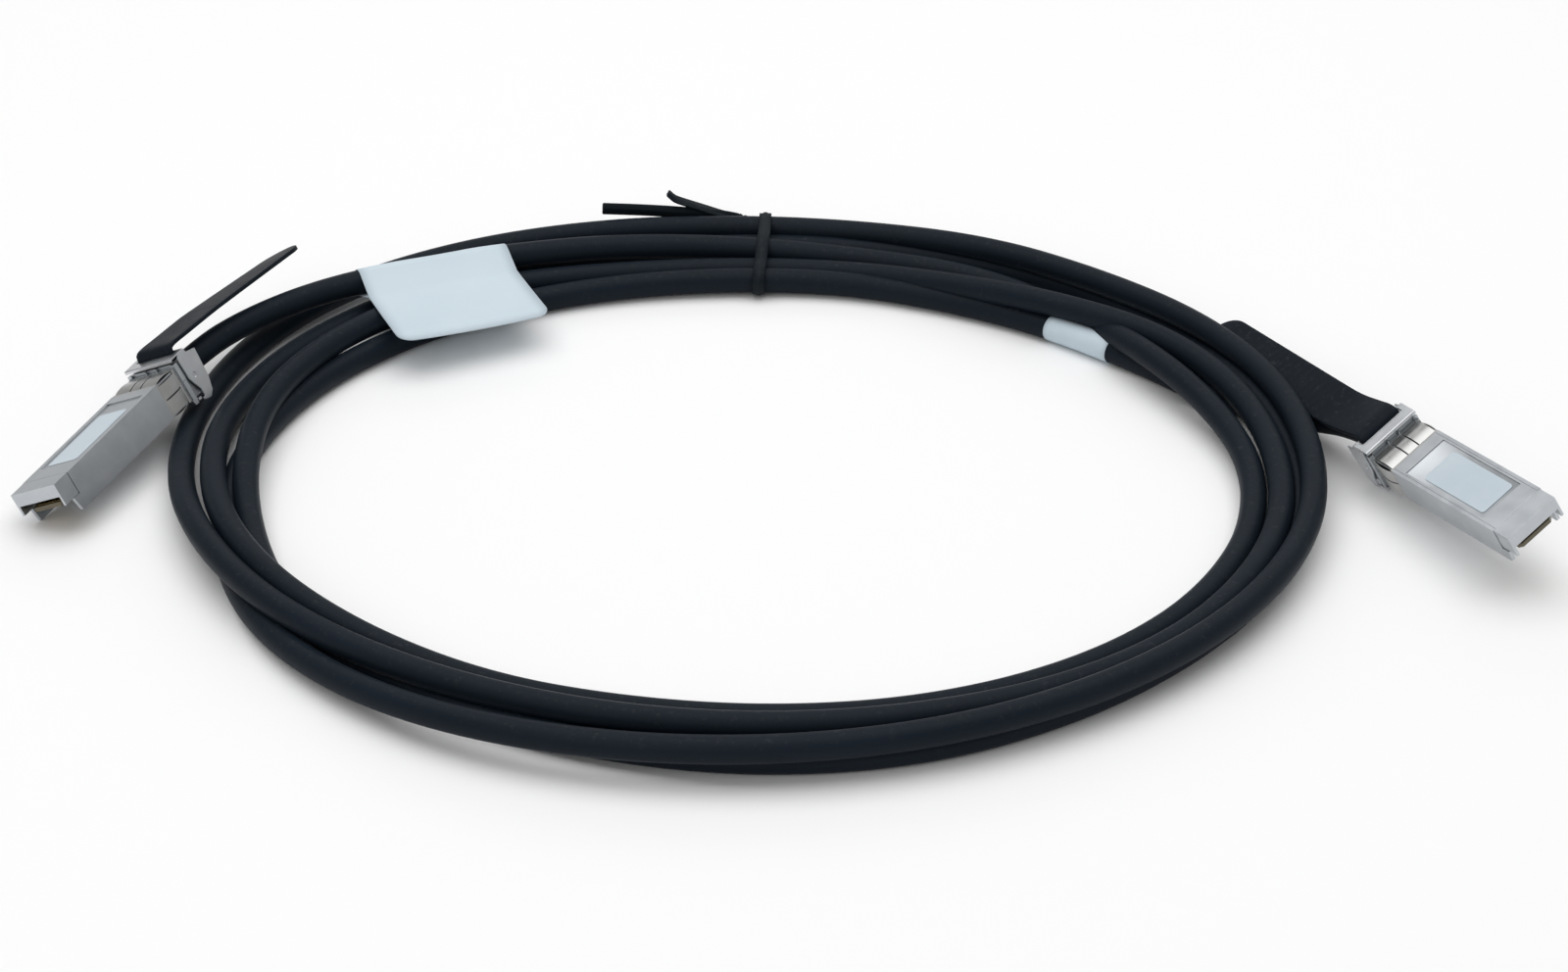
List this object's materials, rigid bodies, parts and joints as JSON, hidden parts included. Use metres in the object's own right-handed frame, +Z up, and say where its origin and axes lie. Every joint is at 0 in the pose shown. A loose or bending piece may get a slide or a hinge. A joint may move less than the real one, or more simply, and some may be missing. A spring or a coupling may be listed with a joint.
{
  "type": "direct attach copper cable",
  "caption": "Black round network cable wound in a flat oval coil, with a small nickel-grey plug with pull tab on each end, flag labels and a twist tie.",
  "frame": {"origin": "middle of the box around the two plugs, on the surface that the cable lies on", "axes": "+X from the left plug towards the right plug, +Y towards the back of the coil, where the tie is, +Z up"},
  "size_m": [0.3192, 0.2217, 0.0221],
  "materials": {
    "nickel": "satin nickel plating on die-cast zinc",
    "steel_sheet": "bright stamped sheet",
    "spring_sheet": "nickel-plated spring sheet",
    "ferrule": "nickel-plated crimp sleeve",
    "card": "solder mask over glass laminate",
    "gold": "gold-plated pads",
    "chip": "moulded",
    "potting": "cured glue",
    "wire": "foil-wrapped",
    "tab": "flexible, satin",
    "jacket": "smooth satin jacket",
    "tie": "satin",
    "sticker": "blank",
    "flag": "blank"
  },
  "bodies": {
    "cable": {"left_top_shell": "nickel", "left_bottom_shell": "nickel", "left_paddle_card": "card", "left_contact_pads": "gold", "left_memory_chip": "chip", "left_wire_potting": "potting", "left_twin_axial_wires": "wire", "left_blank_sticker": "sticker", "left_shielding_collar": "spring_sheet", "left_lever_pin": "steel_sheet", "left_lever_spring": "spring_sheet", "left_cable_ferrule": "ferrule", "right_top_shell": "nickel", "right_bottom_shell": "nickel", "right_paddle_card": "card", "right_contact_pads": "gold", "right_memory_chip": "chip", "right_wire_potting": "potting", "right_twin_axial_wires": "wire", "right_blank_sticker": "sticker", "right_shielding_collar": "spring_sheet", "right_lever_pin": "steel_sheet", "right_lever_spring": "spring_sheet", "right_cable_ferrule": "ferrule", "left_cable_lead": "jacket", "right_cable_lead": "jacket", "cable_coil": "jacket", "left_flag_label": "flag", "right_flag_label": "flag", "twist_tie": "tie"},
    "left_bracket": {"left_release_bracket": "steel_sheet"},
    "left_lever": {"left_lock_lever": "steel_sheet"},
    "left_tab": {"left_pull_tab": "tab"},
    "right_bracket": {"right_release_bracket": "steel_sheet"},
    "right_lever": {"right_lock_lever": "steel_sheet"},
    "right_tab": {"right_pull_tab": "tab"}
  },
  "joints": [
    {"name": "left_bracket_swing", "type": "hinge", "parent": "cable", "child": "left_bracket", "pos_m": [-0.13152, 0.0121, 0.01042], "axis": [-0.7996, 0.3982, -0.4495], "range_deg": [0, 11]},
    {"name": "left_lever_swing", "type": "hinge", "parent": "cable", "child": "left_lever", "pos_m": [-0.12916, 0.0135, 0.00746], "axis": [-0.7996, 0.3982, -0.4495], "range_deg": [0, 4], "deforming": ["left_lever_spring"]},
    {"name": "left_tab_slide", "type": "slide", "parent": "cable", "child": "left_tab", "axis": [0.4087, 0.9093, 0.0785], "range_m": [0, 0.0012], "stiffness_N_per_m": 100},
    {"name": "right_bracket_swing", "type": "hinge", "parent": "cable", "child": "right_bracket", "pos_m": [0.13078, -0.01352, 0.00903], "axis": [-0.7464, -0.4548, -0.4858], "range_deg": [0, 11]},
    {"name": "right_lever_swing", "type": "hinge", "parent": "cable", "child": "right_lever", "pos_m": [0.13155, -0.01129, 0.00576], "axis": [-0.7464, -0.4548, -0.4858], "range_deg": [0, 4], "deforming": ["right_lever_spring"]},
    {"name": "right_tab_slide", "type": "slide", "parent": "cable", "child": "right_tab", "axis": [-0.4584, 0.8806, -0.1201], "range_m": [0, 0.0012], "stiffness_N_per_m": 100}
  ],
  "couplings": [
    {"joint": "left_bracket_swing", "follows": "left_tab_slide", "rad_per_m": 159.9},
    {"joint": "left_lever_swing", "follows": "left_tab_slide", "rad_per_m": 58.15},
    {"joint": "right_bracket_swing", "follows": "right_tab_slide", "rad_per_m": 159.9},
    {"joint": "right_lever_swing", "follows": "right_tab_slide", "rad_per_m": 58.15}
  ]
}
